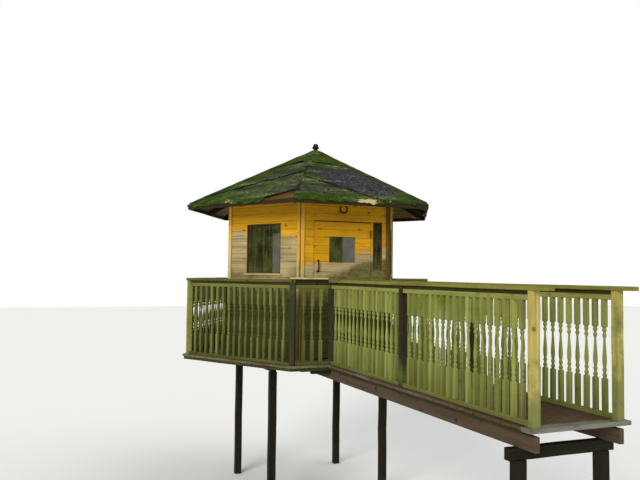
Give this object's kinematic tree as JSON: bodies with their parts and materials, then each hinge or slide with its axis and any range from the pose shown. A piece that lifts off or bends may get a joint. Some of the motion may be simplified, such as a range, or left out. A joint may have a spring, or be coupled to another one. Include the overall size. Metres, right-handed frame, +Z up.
{
  "type": "tree house on posts with a footbridge",
  "caption": "Hexagonal timber hut on posts, with a railed deck around it, a railed footbridge and a hinged door.",
  "frame": {"origin": "on the level of the feet, in the middle of the whole length and width, bridge included", "axes": "+Z up; -Y points from the hut along the bridge to its outer end; X runs along the door wall, +X to the right as one walks in"},
  "size_m": [4.0888, 7.621, 5.335],
  "materials": {
    "wall_boards": "stained, worn",
    "trim_boards": "weathered",
    "brown_timber": "matt stained",
    "dark_timber": "matt, weathered",
    "beam_timber": "weathered",
    "deck_boards": "weathered",
    "balustrade": "weathered, algae",
    "felt": "mossy roofing felt",
    "glass": "dusty",
    "dark_iron": "black, rough",
    "rusty_iron": "rusted"
  },
  "bodies": {
    "house": {"deck_legs": "dark_timber", "trestle_legs": "dark_timber", "trestle_beam": "dark_timber", "deck_bearers": "dark_timber", "landing_bearer": "dark_timber", "deck_joists": "dark_timber", "deck_rim": "deck_boards", "deck_floor": "deck_boards", "bridge_floor": "deck_boards", "bridge_end_board": "deck_boards", "bridge_packers": "deck_boards", "bridge_beams": "beam_timber", "balustrade_left": "balustrade", "balustrade_right": "balustrade", "balustrade_back": "balustrade", "balustrade_front": "balustrade", "bridge_balustrade_left": "balustrade", "bridge_balustrade_right": "balustrade", "balustrade_posts": "balustrade", "deck_handrails": "balustrade", "bridge_handrails": "balustrade", "short_handrails": "balustrade", "front_wall_left": "wall_boards", "front_wall_head": "wall_boards", "front_wall_right": "wall_boards", "wall_left_front": "wall_boards", "wall_left_back": "wall_boards", "wall_back": "wall_boards", "wall_right_back": "wall_boards", "wall_right_front": "wall_boards", "cabin_corner_posts": "brown_timber", "corner_trims": "trim_boards", "window_frames": "brown_timber", "window_sills": "trim_boards", "window_glass": "glass", "door_stops": "brown_timber", "hinge_jamb_halves": "dark_iron", "rafters": "brown_timber", "roof_boss": "brown_timber", "roof_boards": "brown_timber", "roof_felt": "felt", "fascia_boards": "brown_timber", "finial": "dark_iron", "horseshoe": "rusty_iron"},
    "door": {"door_boards": "wall_boards", "door_ledges": "brown_timber", "door_glass": "glass", "door_handle": "dark_iron", "hinge_door_halves": "dark_iron"}
  },
  "joints": [
    {"name": "door_hinge", "type": "hinge", "parent": "house", "child": "door", "pos_m": [0.3855, 0.84122, 2.1], "axis": [0, 0, 1], "range_deg": [0, 84]}
  ]
}
